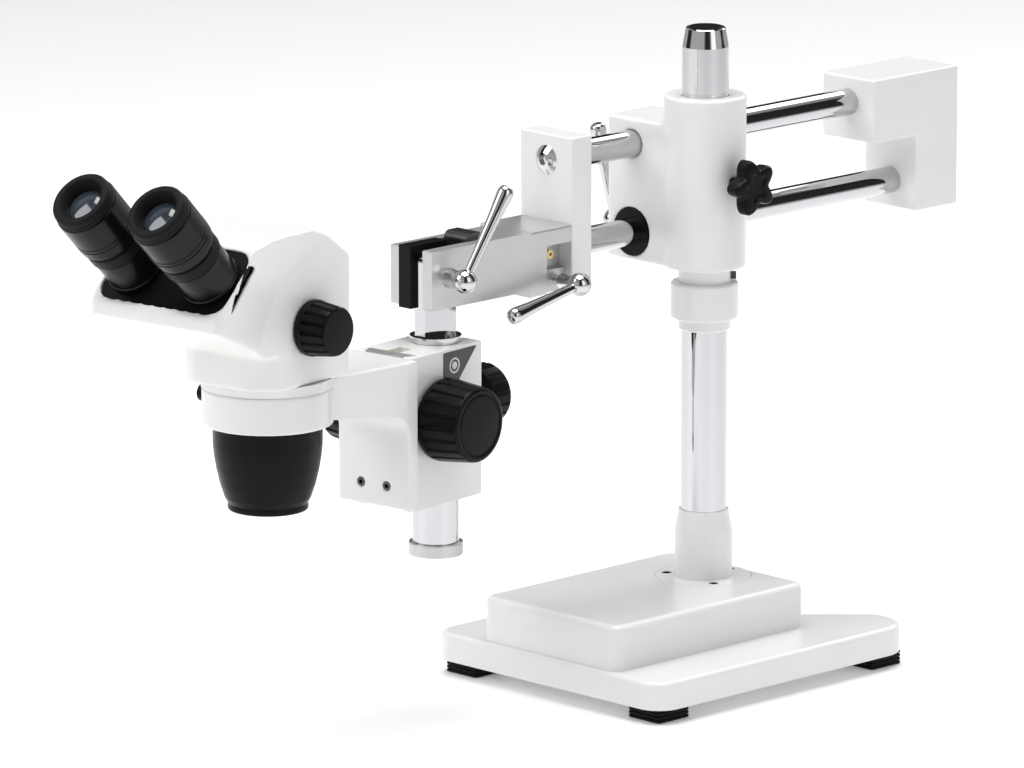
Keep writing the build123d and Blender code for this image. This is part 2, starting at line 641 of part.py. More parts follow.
def tilt_lock_lever():
    hub_x = NEAR_FACE + LEVER_STAND_OFF
    reach = hub_x - (FAR_FACE - 5)
    lever = lock_lever(reach, BOLT_R)
    nut = Pos(0, 0, -reach) * extrude(RegularPolygon(8.0, 6), 4.6)
    return Pos(hub_x, TILT_Y, ARM_Z) * Rot(0, 90, 0) * Rot(0, 0, 180 - 32) * (lever + nut)


parts["clamp_block"] = clamp_block()
parts["near_arm_plate"] = near_arm_plate()
parts["far_arm_plate"] = far_arm_plate()
parts["arm_plate_screws"] = arm_plate_screws()
parts["friction_pad"] = friction_pad()
parts["tilt_stop"] = tilt_stop()
parts["clamp_set_screw"] = clamp_set_screw()
parts["roll_lock_lever"] = roll_lock_lever()
parts["tilt_lock_lever"] = tilt_lock_lever()


# ================================================================ post
def post():
    shaft = cyl(POST_R, (0, 0, POST_BOTTOM + POST_FLANGE_T), POST_SHOULDER - POST_BOTTOM - POST_FLANGE_T)
    shaft += cyl(POST_R * 0.6, (0, 0, POST_BOTTOM + 2), POST_FLANGE_T)
    shaft += cyl(POST_COLLAR_R, (0, 0, HOUSE_TOP + GAP), POST_SHOULDER - HOUSE_TOP - GAP)
    tongue = block(-TONGUE_T / 2, TONGUE_T / 2, -TONGUE_HALF, TONGUE_HALF, POST_SHOULDER - 1, TONGUE_TOP)
    tongue = soften(tongue, 8.0, lambda e: abs(e.center().Z - TONGUE_TOP) < 0.1 and e.length < 13)
    tongue -= cyl(BOLT_R + RUN, (-20, 0, ARM_Z), 40, "X")
    return Pos(TONGUE_X, TILT_Y, 0) * (shaft + tongue)


def post_flange():
    ring = cyl(POST_FLANGE_R, (0, 0, POST_BOTTOM), POST_FLANGE_T)
    ring = fillet(ring.edges().filter_by(GeomType.CIRCLE), 1.0)
    return Pos(TONGUE_X, TILT_Y, 0) * (ring - cyl(POST_R * 0.6, (0, 0, POST_BOTTOM + 2), POST_FLANGE_T))


parts["post"] = post()
parts["post_flange"] = post_flange()


# ================================================================ focus block
def post_sleeve():
    tube = cyl(POST_SLEEVE_R - RUN, (0, 0, HOUSE_BOTTOM), HOUSE_TOP - HOUSE_BOTTOM)
    return FOCUS * (tube - cyl(POST_R + RUN, (0, 0, HOUSE_BOTTOM - 1), 200))


def dovetail(growth):
    """Dovetail that is wider inside the housing than at its mouth, grown by a clearance."""
    back = DOVETAIL_BACK + growth
    outline = Polyline(
        (-DOVETAIL_MOUTH - growth, BRACKET_BACK),
        (DOVETAIL_MOUTH + growth, BRACKET_BACK),
        (DOVETAIL_ROOT + growth, back),
        (-DOVETAIL_ROOT - growth, back),
        close=True,
    )
    return make_face(outline)


def focus_housing():
    body = block(-HOUSE_HALF, HOUSE_HALF, HOUSE_FRONT, HOUSE_REAR, HOUSE_BOTTOM, HOUSE_TOP)
    body = fillet(body.edges().filter_by(Axis.Z), 1.5)
    body = fillet(body.edges().group_by(Axis.Z)[-1], 1.0)
    body -= cyl(POST_SLEEVE_R, (0, 0, HOUSE_BOTTOM - 1), 200)
    body -= Pos(0, 0, HOUSE_BOTTOM - 1) * extrude(dovetail(GAP), 200)
    body -= block(-RACK_WIDTH / 2 - GAP, RACK_WIDTH / 2 + GAP, DOVETAIL_BACK - 1, -31.0, HOUSE_BOTTOM - 1, 260)
    body -= cyl(PINION_SHAFT_R + RUN, (-40, PINION_Y, PINION_Z), 80, "X")
    pocket = PINION_WIDTH + 2 * GAP
    body -= cyl(PINION_PITCH_R + MODULE + GAP, (-pocket / 2, PINION_Y, PINION_Z), pocket, "X")
    body -= cyl(CLAMP_STUD_R + RUN, (0, POST_R, PINION_Z), 30, "Y")
    return FOCUS * body


def pinion_shaft():
    shaft = cyl(PINION_SHAFT_R, (-FOCUS_KNOB_BACK - 22, 0, 0), 2 * FOCUS_KNOB_BACK + 44, "X")
    root = PINION_PITCH_R - 1.25 * MODULE
    tip = PINION_PITCH_R + 0.9 * MODULE
    gear = cyl(root, (-PINION_WIDTH / 2, 0, 0), PINION_WIDTH, "X")
    tooth = Polyline((root - 1, -1.0), (tip, -0.35), (tip, 0.35), (root - 1, 1.0), close=True)
    tooth = Pos(-PINION_WIDTH / 2, 0, 0) * Rot(0, 90, 0) * extrude(make_face(tooth), PINION_WIDTH)
    for i in range(PINION_TEETH):
        gear += Rot(90 + 360 * i / PINION_TEETH, 0, 0) * tooth
    return FOCUS * Pos(0, PINION_Y, PINION_Z) * (shaft + gear)


def focus_knob(side):
    knob = fluted_knob(FOCUS_KNOB_R, FOCUS_KNOB_TIP_R, FOCUS_KNOB_LENGTH, 28, 1.7)
    knob -= cyl(PINION_SHAFT_R, (0, 0, -1), 23)
    return FOCUS * Pos(side * FOCUS_KNOB_BACK, PINION_Y, PINION_Z) * Rot(0, side * 90, 0) * knob


def post_clamp_knob():
    knob = fluted_knob(CLAMP_KNOB_R, CLAMP_KNOB_R - 0.6, CLAMP_KNOB_LENGTH, 22, 1.5)
    knob += cyl(CLAMP_STUD_R, (0, 0, POST_SLEEVE_R + GAP - CLAMP_KNOB_Y), CLAMP_KNOB_Y - POST_SLEEVE_R - GAP + 1)
    return FOCUS * Pos(0, CLAMP_KNOB_Y, PINION_Z) * Rot(-90, 0, 0) * knob


def ring_band():
    band = cyl(RING_R, (0, 0, RING_BOTTOM), RING_TOP - RING_BOTTOM)
    return band


def focus_bracket():
    plate = block(-BRACKET_HALF, BRACKET_HALF, BRACKET_FRONT, BRACKET_BACK, BRACKET_BOTTOM, BRACKET_TOP)
    outline = FilletPolyline(
        (0, BRACKET_BACK, BRACKET_ARM_LOW - 30),
        (0, BRACKET_BACK, BRACKET_TOP),
        (0, -RING_REACH, BRACKET_TOP),
        (0, -RING_REACH, BRACKET_RING_LOW + 4),
        (0, BRACKET_FRONT, BRACKET_ARM_LOW),
        (0, BRACKET_FRONT, BRACKET_ARM_LOW - 30),
        radius=[0.01, 0.01, 0.01, 0.01, 14, 0.01],
        close=True,
    )
    web = extrude(make_face(outline), BRACKET_HALF, dir=(1, 0, 0), both=True)
    neck_y = -RING_REACH + RING_R
    plan = Polyline(
        (-BRACKET_HALF, BRACKET_BACK),
        (BRACKET_HALF, BRACKET_BACK),
        (BRACKET_HALF, BRACKET_FRONT),
        (ARM_NECK_HALF, neck_y),
        (ARM_NECK_HALF, neck_y - 14),
        (-ARM_NECK_HALF, neck_y - 14),
        (-ARM_NECK_HALF, neck_y),
        (-BRACKET_HALF, BRACKET_FRONT),
        close=True,
    )
    web = web & Pos(0, 0, BRACKET_BOTTOM) * extrude(make_face(plan), 120)
    body = plate + web + Pos(0, -RING_REACH, 0) * ring_band()
    body -= cyl(RING_BORE_R, (0, -RING_REACH, RING_BOTTOM - 5), 60)
    for x in (-BRACKET_SCREW_X, BRACKET_SCREW_X):
        body -= cyl(BRACKET_SCREW_R * 0.6, (x, BRACKET_FRONT - 1, BRACKET_SCREW_Z), 20, "Y")
        body -= cyl(BRACKET_SCREW_R, (x, BRACKET_FRONT - 1, BRACKET_SCREW_Z), 4.4, "Y")
    z = (RING_BOTTOM + RING_TOP) / 2
    body -= cyl(RING_SCREW_R + RUN, (-RING_R - 2, -RING_REACH, z), 20, "X")
    return FOCUS * body


def dovetail_slide():
    body = Pos(0, 0, BRACKET_BOTTOM) * extrude(dovetail(0), BRACKET_TOP - BRACKET_BOTTOM)
    for x in (-BRACKET_SCREW_X, BRACKET_SCREW_X):
        body -= cyl(BRACKET_SCREW_R * 0.6, (x, BRACKET_FRONT, BRACKET_SCREW_Z), 18, "Y")
    return FOCUS * body


def bracket_screws():
    screws = []
    for x in (-BRACKET_SCREW_X, BRACKET_SCREW_X):
        screw = cyl(BRACKET_SCREW_R, (x, BRACKET_FRONT + 0.3, BRACKET_SCREW_Z), 3.1, "Y")
        screw += cyl(BRACKET_SCREW_R * 0.6, (x, BRACKET_FRONT + 3, BRACKET_SCREW_Z), 15, "Y")
        screw -= Pos(x, BRACKET_FRONT, BRACKET_SCREW_Z) * Rot(-90, 0, 0) * extrude(RegularPolygon(1.8, 6), 2.4)
        screws.append(screw)
    return FOCUS * Compound(screws)


def rack():
    pitch = math.pi * MODULE
    pitch_line = PINION_Y - PINION_PITCH_R
    tip = pitch_line + 0.8 * MODULE
    root = pitch_line - 1.2 * MODULE
    low = BRACKET_BOTTOM + 8
    high = BRACKET_TOP - 8
    bar = block(-RACK_WIDTH / 2, RACK_WIDTH / 2, DOVETAIL_BACK, root, low, high)
    half_root = 0.5 * pitch - 0.62
    half_tip = 0.42
    tooth = Polyline((0, root - 0.5, -half_root), (0, root - 0.5, half_root), (0, tip, half_tip),
                     (0, tip, -half_tip), close=True)
    tooth = extrude(make_face(tooth), RACK_WIDTH / 2, dir=(1, 0, 0), both=True)
    count = int((high - low) / pitch / 2) - 1
    for i in range(-count, count):
        bar += Pos(0, 0, PINION_Z + (i + 0.5) * pitch) * tooth
    return FOCUS * bar


def ring_lock_screw():
    z = (RING_BOTTOM + RING_TOP) / 2
    screw = cyl(RING_SCREW_R, (-RING_R - 2, 0, z), RING_R + 2 - RING_BORE_R - GAP, "X")
    screw += cyl(6.0, (-RING_R - 13, 0, z), 12, "X")
    return HEAD * screw


parts["post_sleeve"] = post_sleeve()
parts["focus_housing"] = focus_housing()
parts["post_clamp_knob"] = post_clamp_knob()
parts["pinion_shaft"] = pinion_shaft()
parts["near_focus_knob"] = focus_knob(1)
parts["far_focus_knob"] = focus_knob(-1)
parts["focus_bracket"] = focus_bracket()
parts["dovetail_slide"] = dovetail_slide()
parts["rack"] = rack()
parts["bracket_screws"] = bracket_screws()
parts["ring_lock_screw"] = ring_lock_screw()


# ================================================================ head
# side outline of the casing as (y, z), from the nose's lower lip round over the top and down the back
HEAD_SIDE = [
    (-114.0, 313.5),
    (-114.5, 322.5),
    (-73.5, 363.0),
    (-50.0, 366.0),
    (-5.0, 364.5),
    (14.0, 358.0),
    (36.0, 342.0),
    (50.0, 326.0),
    (57.8, 296.3),
    (57.8, NECK_TOP),
    (-NECK_FRONT, NECK_TOP),
    (-62.0, 292.0),
]


def head_envelope(inset):
    """Outer form of the casing, or its inside when it is inset by the wall."""
    outline = make_face(Polyline(*[(0, y, z) for y, z in HEAD_SIDE], close=True))
    side = offset(outline, -inset) if inset else outline
    upper = extrude(side, 70, dir=(1, 0, 0), both=True)
    plan = Pos(0, -57) * RectangleRounded(2 * (HEAD_NOSE_HALF - inset), 130, 18)
    plan += Circle(HEAD_BACK_R - inset)
    upper = upper & Pos(0, 0, 200) * extrude(plan, 200)
    low = HEAD_BOTTOM + inset
    neck = cyl(HEAD_BACK_R - NECK_STEP - inset, (0, 0, low), NECK_TOP + 6 + inset - low)
    neck = neck & block(-70, 70, inset - NECK_FRONT, 70, low, NECK_TOP + 20)
    body = upper + neck
    waist = HEAD_WAIST - inset
    mouth_r = FLANK_R + FLANK_DEPTH / FLANK_SLOPE
    for axis, sign in (("X", 1), ("-X", -1)):
        start = (sign * waist, FLANK_Y, FLANK_Z)
        body -= cone(FLANK_R, mouth_r, start, FLANK_DEPTH, axis)
    body &= block(-70, 70, -200, FLANK_Y, 200, 400) + block(-waist, waist, FLANK_Y - 1, 90, 200, 400)
    return body


def head_shell():
    shell = head_envelope(0) - head_envelope(HEAD_WALL)
    shell -= cyl(HEAD_FLOOR_R, (0, 0, HEAD_BOTTOM - 1), HEAD_WALL + 4)
    window = Rot(EYE_ANGLE, 0, 0) * Pos(0, 0, -9) * extrude(panel_outline(), 14)
    shell -= Pos(0, PANEL_Y, PANEL_Z) * window
    shell -= cyl(ZOOM_SHAFT_R + RUN, (-60, ZOOM_Y, ZOOM_Z), 120, "X")
    return HEAD * shell


def panel_outline():
    face = Pos(0, (PANEL_LOW + PANEL_HIGH) / 2) * RectangleRounded(2 * PANEL_HALF, PANEL_HIGH - PANEL_LOW, 12)
    return face


def front_panel():
    panel = Pos(0, 0, -PANEL_T) * extrude(panel_outline(), PANEL_T)
    slot_r = EYETUBE_SPIGOT_R + GAP
    for x in (-EYE_HALF_SPACING, EYE_HALF_SPACING):
        slot = Pos(x, 0, -PANEL_T - 1) * extrude(SlotCenterToCenter(2 * EYE_TRAVEL, 2 * slot_r), PANEL_T + 2)
        panel -= slot
    return PANEL * panel


def head_base():
    body = cyl(HEAD_FLANGE_R, (0, 0, RING_TOP + GAP), HEAD_BOTTOM - RING_TOP - GAP)
    body += cyl(RING_BORE_R - RUN, (0, 0, BARREL_TOP), RING_TOP + 1 - BARREL_TOP)
    body -= cyl(HEAD_BASE_BORE_R, (0, 0, BARREL_TOP - 1), 60)
    return HEAD * body


def objective_cover():
    wall = 2.4
    outer = [(36.6, BARREL_TOP), (36.3, 214.0), (35.6, 207.0), (34.2, 198.5), (31.6, 187.5), (28.8, 179.0),
             (26.6, 175.0), (26.8, 173.5), (26.8, BARREL_BOTTOM + 0.8), (26.0, BARREL_BOTTOM)]
    seat = BARREL_BOTTOM + AUX_THREAD_DEPTH
    inner = [(AUX_THREAD_R, BARREL_BOTTOM), (AUX_THREAD_R, seat), (LENS_R, seat), (LENS_R, seat + 7),
             (28.0, 187.5), (31.6 - 0.2, 198.5), (33.0, 207.0), (36.3 - wall, 214.0), (36.6 - wall, BARREL_TOP)]
    return HEAD * turned(outer + inner)


def objective_lens():
    seat = BARREL_BOTTOM + AUX_THREAD_DEPTH
    lens = cyl(LENS_R, (0, 0, seat), 6.0)
    return HEAD * lens


def zoom_guide_rods():
    rods = [cyl(GUIDE_ROD_R, (x, 24.0, HEAD_BOTTOM), 62) for x in (-24.0, 24.0)]
    feet = [cyl(GUIDE_ROD_FOOT_R, (x, 24.0, HEAD_BOTTOM), 2.5) for x in (-24.0, 24.0)]
    return HEAD * Compound([r + f for r, f in zip(rods, feet)])


def zoom_lens_carrier():
    plate = block(-31, 31, -18, 30, CARRIER_Z - 2.5, CARRIER_Z + 2.5)
    for x in (-24.0, 24.0):
        plate -= cyl(GUIDE_ROD_R + RUN, (x, 24.0, CARRIER_Z - 5), 10)
    for x in (-12.0, 12.0):
        plate += cyl(9.5, (x, -4, CARRIER_Z - 5), 10)
        plate -= cyl(7.5, (x, -4, CARRIER_Z - 6), 12)
    drive = ZOOM_Y + ZOOM_DRUM_R + 0.1
    plate += block(-1.4, 1.4, drive, drive + 3, CARRIER_Z + 2, ZOOM_Z + ZOOM_TRAVEL + 4)
    return HEAD * plate


def zoom_shaft():
    shaft = cyl(ZOOM_SHAFT_R, (-ZOOM_KNOB_BACK - 16, 0, 0), 2 * ZOOM_KNOB_BACK + 32, "X")
    shaft += cyl(ZOOM_DRUM_R, (-5, 0, 0), 10, "X")
    return HEAD * Pos(0, ZOOM_Y, ZOOM_Z) * shaft


def zoom_knobs():
    knob = fluted_knob(ZOOM_KNOB_R, ZOOM_KNOB_TIP_R, ZOOM_KNOB_LENGTH, 22, 1.4)
    knob -= cyl(ZOOM_SHAFT_R, (0, 0, -1), 17)
    pair = []
    for side in (-1, 1):
        pair.append(Pos(side * ZOOM_KNOB_BACK, ZOOM_Y, ZOOM_Z) * Rot(0, side * 90, 0) * knob)
    return HEAD * Compound(pair)


parts["head_shell"] = head_shell()
parts["front_panel"] = front_panel()
parts["head_base"] = head_base()
parts["objective_cover"] = objective_cover()
parts["objective_lens"] = objective_lens()
parts["zoom_guide_rods"] = zoom_guide_rods()
parts["zoom_lens_carrier"] = zoom_lens_carrier()
parts["zoom_shaft"] = zoom_shaft()
parts["zoom_knobs"] = zoom_knobs()


# ================================================================ eyetubes and eyepieces
def eyetube():
    body = cyl(EYETUBE_R, (0, 0, EYETUBE_LIFT), EYETUBE_LENGTH - EYETUBE_LIFT)
    body += cyl(EYETUBE_FOOT_R, (0, 0, GAP), EYETUBE_LIFT)
    body += cyl(EYEPIECE_BARREL_R + 2.0, (0, 0, EYETUBE_LENGTH - 1), DIOPTER_LENGTH + 1)
    body += cyl(EYETUBE_SPIGOT_R, (0, 0, -PANEL_T - 3), PANEL_T + 4)
    body -= cyl(EYEPIECE_BARREL_R, (0, 0, 6), 60)
    return body - cyl(EYETUBE_SPIGOT_R - 2, (0, 0, -20), 40)


def diopter_ring():
    ring = cyl(DIOPTER_R, (0, 0, EYETUBE_LENGTH + GAP), DIOPTER_LENGTH - GAP)
    ring = fillet(ring.edges().filter_by(GeomType.CIRCLE), 0.8)
    return ring - cyl(EYEPIECE_BARREL_R + 2.0 + RUN, (0, 0, EYETUBE_LENGTH), 20)


def eyepiece():
    return turned([
        (12.6, 8.0),
        (EYEPIECE_BARREL_R, 8.0),
        (EYEPIECE_BARREL_R, EYEPIECE_BASE),
        (20.6, EYEPIECE_BASE),
        (21.0, EYEPIECE_BASE + 8),
        (EYEPIECE_R, EYEPIECE_BASE + 20),
        (EYEPIECE_R, EYEPIECE_END - 1.0),
        (EYEPIECE_R - 1.0, EYEPIECE_END),
        (12.6, EYEPIECE_END),
    ])


def eyecup():
    return turned([
        (EYE_LENS_R + 0.2, EYEPIECE_END),
        (21.2, EYEPIECE_END),
        (21.2, EYEPIECE_END + 3.0),
        (20.0, EYECUP_END),
        (15.5, EYECUP_END),
        (EYE_LENS_R + 0.6, EYEPIECE_END + 3.6),
    ])


def eye_lens():
    disc = cyl(EYE_LENS_R, (0, 0, EYEPIECE_END - 5), 6.4)
    return disc


for name, x in (("left", -EYE_HALF_SPACING), ("right", EYE_HALF_SPACING)):
    station = PANEL * Pos(x, 0, 0)
    parts[name + "_eyetube"] = station * eyetube()
    parts[name + "_diopter_ring"] = station * diopter_ring()
    parts[name + "_eyepiece"] = station * eyepiece()
    parts[name + "_eyecup"] = station * eyecup()
    parts[name + "_eye_lens"] = station * eye_lens()


# ================================================================ export
os.makedirs("parts", exist_ok=True)
for name, shape in parts.items():
    export_step(Pos(0, -MIDDLE_Y, 0) * shape, os.path.join("parts", name + ".step"))
print(len(parts), "nodes")
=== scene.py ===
import json
import math

import bmesh
import bpy
from mathutils import Matrix, Vector

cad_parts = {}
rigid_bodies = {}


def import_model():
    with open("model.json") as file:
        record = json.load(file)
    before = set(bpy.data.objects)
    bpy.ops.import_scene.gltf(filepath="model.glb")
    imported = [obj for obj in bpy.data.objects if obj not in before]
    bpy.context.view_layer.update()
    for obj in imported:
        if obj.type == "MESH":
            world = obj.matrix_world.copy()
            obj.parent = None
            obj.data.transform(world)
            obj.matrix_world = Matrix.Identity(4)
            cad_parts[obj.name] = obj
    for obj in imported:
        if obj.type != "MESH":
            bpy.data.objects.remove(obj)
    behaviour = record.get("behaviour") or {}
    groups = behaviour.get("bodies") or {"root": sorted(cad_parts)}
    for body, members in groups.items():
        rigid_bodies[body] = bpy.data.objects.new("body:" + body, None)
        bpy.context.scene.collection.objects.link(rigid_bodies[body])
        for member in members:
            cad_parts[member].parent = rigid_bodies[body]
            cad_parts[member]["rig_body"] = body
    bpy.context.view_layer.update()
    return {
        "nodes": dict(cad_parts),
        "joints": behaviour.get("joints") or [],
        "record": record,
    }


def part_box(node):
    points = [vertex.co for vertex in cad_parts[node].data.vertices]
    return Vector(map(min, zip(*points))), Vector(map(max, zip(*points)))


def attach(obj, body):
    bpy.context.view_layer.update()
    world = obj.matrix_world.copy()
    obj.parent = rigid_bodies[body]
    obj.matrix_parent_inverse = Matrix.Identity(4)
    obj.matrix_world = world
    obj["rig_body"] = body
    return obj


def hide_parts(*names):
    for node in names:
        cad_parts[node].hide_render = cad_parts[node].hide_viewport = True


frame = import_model()

# Sizes are in millimetres and MM turns them into the frame's metres.
MM = 0.001
UP = Vector((0, 0, 1))
JOINTS = {joint["name"]: joint for joint in frame["joints"]}
SLOTS = {part["node"]: part["material_slot"] for part in frame["record"]["subparts"]}
COLUMN = Vector(JOINTS["carriage_swivel"]["pos_m"][:2] + [0])


def joint_place(name):
    return Vector(JOINTS[name]["pos_m"])


def joint_axis(name):
    return Vector(JOINTS[name]["axis"]).normalized()


# ================================================================ materials
COAT_ROUGHNESS = 0.12
DRIFT_SCALE = 25.0
DRIFT_DETAIL = 4.0
DRIFT_LOW, DRIFT_HIGH = 0.3, 0.7
GRAIN_DETAIL = 3.0
GRAIN_DEPTH = 0.0002
SMOOTHEST = 0.02


def material(name, color, roughness, metallic=0.0, coat=0.0, tint=0.03, grain=900.0, bump=0.05,
             rough_spread=0.06, stretch=(1, 1, 1), specular=0.5):
    """Principled surface with a little colour drift, uneven roughness and a fine grain."""
    mat = bpy.data.materials.new(name)
    mat.use_nodes = True
    tree = mat.node_tree
    shader = tree.nodes["Principled BSDF"]
    shader.inputs["Metallic"].default_value = metallic
    shader.inputs["Coat Weight"].default_value = coat
    shader.inputs["Coat Roughness"].default_value = COAT_ROUGHNESS
    shader.inputs["Specular IOR Level"].default_value = specular
    place = tree.nodes.new("ShaderNodeTexCoord")

    drift = tree.nodes.new("ShaderNodeTexNoise")
    drift.inputs["Scale"].default_value = DRIFT_SCALE
    drift.inputs["Detail"].default_value = DRIFT_DETAIL
    tree.links.new(place.outputs["Object"], drift.inputs["Vector"])
    ramp = tree.nodes.new("ShaderNodeValToRGB")
    darker, lighter = ramp.color_ramp.elements
    darker.position = DRIFT_LOW
    lighter.position = DRIFT_HIGH
    darker.color = [c * (1 - tint) for c in color] + [1]
    lighter.color = [min(1, c * (1 + tint)) for c in color] + [1]
    tree.links.new(drift.outputs["Fac"], ramp.inputs["Fac"])
    tree.links.new(ramp.outputs["Color"], shader.inputs["Base Color"])

    mapping = tree.nodes.new("ShaderNodeMapping")
    mapping.inputs["Scale"].default_value = stretch
    tree.links.new(place.outputs["Object"], mapping.inputs["Vector"])
    fine = tree.nodes.new("ShaderNodeTexNoise")
    fine.inputs["Scale"].default_value = grain
    fine.inputs["Detail"].default_value = GRAIN_DETAIL
    tree.links.new(mapping.outputs["Vector"], fine.inputs["Vector"])
    spread = tree.nodes.new("ShaderNodeMapRange")
    spread.inputs["To Min"].default_value = max(SMOOTHEST, roughness - rough_spread)
    spread.inputs["To Max"].default_value = roughness + rough_spread
    tree.links.new(fine.outputs["Fac"], spread.inputs["Value"])
    tree.links.new(spread.outputs["Result"], shader.inputs["Roughness"])
    relief = tree.nodes.new("ShaderNodeBump")
    relief.inputs["Strength"].default_value = bump
    relief.inputs["Distance"].default_value = GRAIN_DEPTH
    tree.links.new(fine.outputs["Fac"], relief.inputs["Height"])
    tree.links.new(relief.outputs["Normal"], shader.inputs["Normal"])
    return mat


MATERIALS = {
    "white_paint": material("white_paint", (0.80, 0.80, 0.79), 0.34, coat=0.25, tint=0.012,
                            grain=1600, bump=0.10),
    "white_shell": material("white_shell", (0.82, 0.82, 0.805), 0.38, coat=0.15, tint=0.012,
                            grain=2600, bump=0.14),
    "black_plastic": material("black_plastic", (0.0055, 0.0055, 0.0065), 0.30, tint=0.25,
                              grain=2600, bump=0.18, specular=0.10),
    "black_rubber": material("black_rubber", (0.008, 0.008, 0.009), 0.58, tint=0.25,
                             grain=1800, bump=0.35, specular=0.12),
    "black_metal": material("black_metal", (0.0045, 0.0045, 0.0055), 0.20, tint=0.2,
                            grain=1900, bump=0.08, specular=0.2),
    "chrome": material("chrome", (0.58, 0.585, 0.60), 0.07, metallic=1.0, tint=0.01,
                       grain=700, bump=0.012, rough_spread=0.03),
    "steel": material("steel", (0.56, 0.56, 0.57), 0.28, metallic=1.0,
                      grain=800, bump=0.08, stretch=(1, 1, 12)),
    "dark_steel": material("dark_steel", (0.10, 0.10, 0.105), 0.36, metallic=1.0, tint=0.12,
                           grain=1200, bump=0.1),
    "aluminium": material("aluminium", (0.60, 0.60, 0.60), 0.36, metallic=0.75, tint=0.03,
                          grain=1400, bump=0.10, stretch=(1, 0.12, 1)),
    "brass": material("brass", (0.72, 0.55, 0.28), 0.28, metallic=1.0, tint=0.08,
                      grain=900, bump=0.08),
    "glass": material("glass", (0.030, 0.040, 0.055), 0.05, coat=1.0, tint=0.2,
                      grain=300, bump=0.0, rough_spread=0.01),
    "badge_grey": material("badge_grey", (0.045, 0.045, 0.048), 0.35, tint=0.1,
                           grain=1500, bump=0.05),
    "mark_white": material("mark_white", (0.75, 0.75, 0.74), 0.5, tint=0.05,
                           grain=1500, bump=0.05),
}

for node, obj in frame["nodes"].items():
    obj.data.materials.clear()
    obj.data.materials.append(MATERIALS[SLOTS[node]])


# ================================================================ mesh helpers
TINY = 1e-6


def axis_frame(origin, axis, side=UP):
    """Matrix whose Z runs along axis and whose X is as near to side as it can be."""
    z = Vector(axis).normalized()
    x = Vector(side) - z * Vector(side).dot(z)
    if x.length < TINY:
        x = Vector((1, 0, 0)) - z * z.x
    x.normalize()
    y = z.cross(x)
    turn = Matrix((x, y, z)).transposed().to_4x4()
    return Matrix.Translation(Vector(origin)) @ turn


def finished_mesh(name, bm):
    bmesh.ops.recalc_face_normals(bm, faces=bm.faces)
    mesh = bpy.data.meshes.new(name)
    bm.to_mesh(mesh)
    bm.free()
    return mesh


def add_stack(bm, loops):
    """Skin through a stack of loops of points in metres, closed by a face at each end."""
    rings = [[bm.verts.new(point) for point in loop] for loop in loops]
    for a, b in zip(rings, rings[1:]):
        for i in range(len(a)):
            j = (i + 1) % len(a)
            bm.faces.new((a[i], a[j], b[j], b[i]))
    bm.faces.new(rings[0])
    bm.faces.new(rings[-1])


def plate_mesh(place, outline, low, high):
    """Flat plate of a given outline, between two heights of its own frame."""
    bm = bmesh.new()
    add_stack(bm, [[place @ (Vector((x, y, z)) * MM) for x, y in outline] for z in (low, high)])
    return finished_mesh("plate", bm)


def lathe_mesh(profile, place, segments=96, radius_at=None):
    """Closed surface of revolution of a closed outline of (radius, height)."""
    bm = bmesh.new()
    rings = []
    for radius, height in profile:
        if radius < TINY:
            rings.append([bm.verts.new(place @ Vector((0, 0, height * MM)))])
            continue
        ring = []
        for i in range(segments):
            angle = 2 * math.pi * i / segments
            r = radius_at(radius, height, angle) if radius_at else radius
            point = Vector((r * math.cos(angle), r * math.sin(angle), height)) * MM
            ring.append(bm.verts.new(place @ point))
        rings.append(ring)
    count = len(rings)
    closed = len(rings[0]) > 1 and len(rings[-1]) > 1
    for k in range(count if closed else count - 1):
        a, b = rings[k], rings[(k + 1) % count]
        for i in range(segments):
            j = (i + 1) % segments
            corners = [a[i % len(a)], a[j % len(a)], b[j % len(b)], b[i % len(b)]]
            unique = list(dict.fromkeys(corners))
            if len(unique) > 2:
                bm.faces.new(unique)
    return finished_mesh("lathe", bm)


def rounded(points, radius, steps=3):
    """The same outline with each inner corner of an open chain cut by a short arc."""
    result = [points[0]]
    for before, corner, after in zip(points, points[1:], points[2:]):
        c = Vector(corner)
        a = Vector(before) - c
        b = Vector(after) - c
        reach = min(radius, a.length * 0.45, b.length * 0.45)
        start = c + a.normalized() * reach
        end = c + b.normalized() * reach
        for k in range(steps + 1):
            t = k / steps
            point = start * (1 - t) ** 2 + c * 2 * t * (1 - t) + end * t ** 2
            result.append((point.x, point.y))
    result.append(points[-1])
    return result


def rounded_rectangle(width, height, radius, steps):
    points = []
    for quarter, (sx, sy) in enumerate(((1, 1), (-1, 1), (-1, -1), (1, -1))):
        for k in range(steps + 1):
            angle = math.radians(90 * quarter + 90 * k / steps)
            points.append((sx * (width / 2 - radius) + radius * math.cos(angle),
                           sy * (height / 2 - radius) + radius * math.sin(angle)))
    return points


def fluted(count, depth, low, high, duty):
    """Radius rule that cuts rounded grooves round a knob between two heights."""
    def rule(radius, height, angle):
        if not low <= height <= high or radius < 4:
            return radius
        wave = (math.cos(count * angle) - duty) / (1 - duty)
        return radius - depth * max(0.0, wave) ** 0.6
    return rule


# ================================================================ piece helpers
ROUNDING_ANGLE = math.radians(35)


def link_object(name, data):
    obj = bpy.data.objects.new(name, data)
    bpy.context.scene.collection.objects.link(obj)
    return obj


def add_piece(name, mesh, body, slot, smooth_angle=35.0, bevel=0.0):
    piece = link_object(name, mesh)
    mesh.materials.append(MATERIALS[slot])
    for polygon in mesh.polygons:
        polygon.use_smooth = True
    mesh.set_sharp_from_angle(angle=math.radians(smooth_angle))
    if bevel:
        rounding = piece.modifiers.new("rounding", "BEVEL")
        rounding.width = bevel * MM
        rounding.segments = 2
        rounding.limit_method = "ANGLE"
        rounding.angle_limit = ROUNDING_ANGLE
        rounding.harden_normals = True
    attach(piece, body)
    return piece


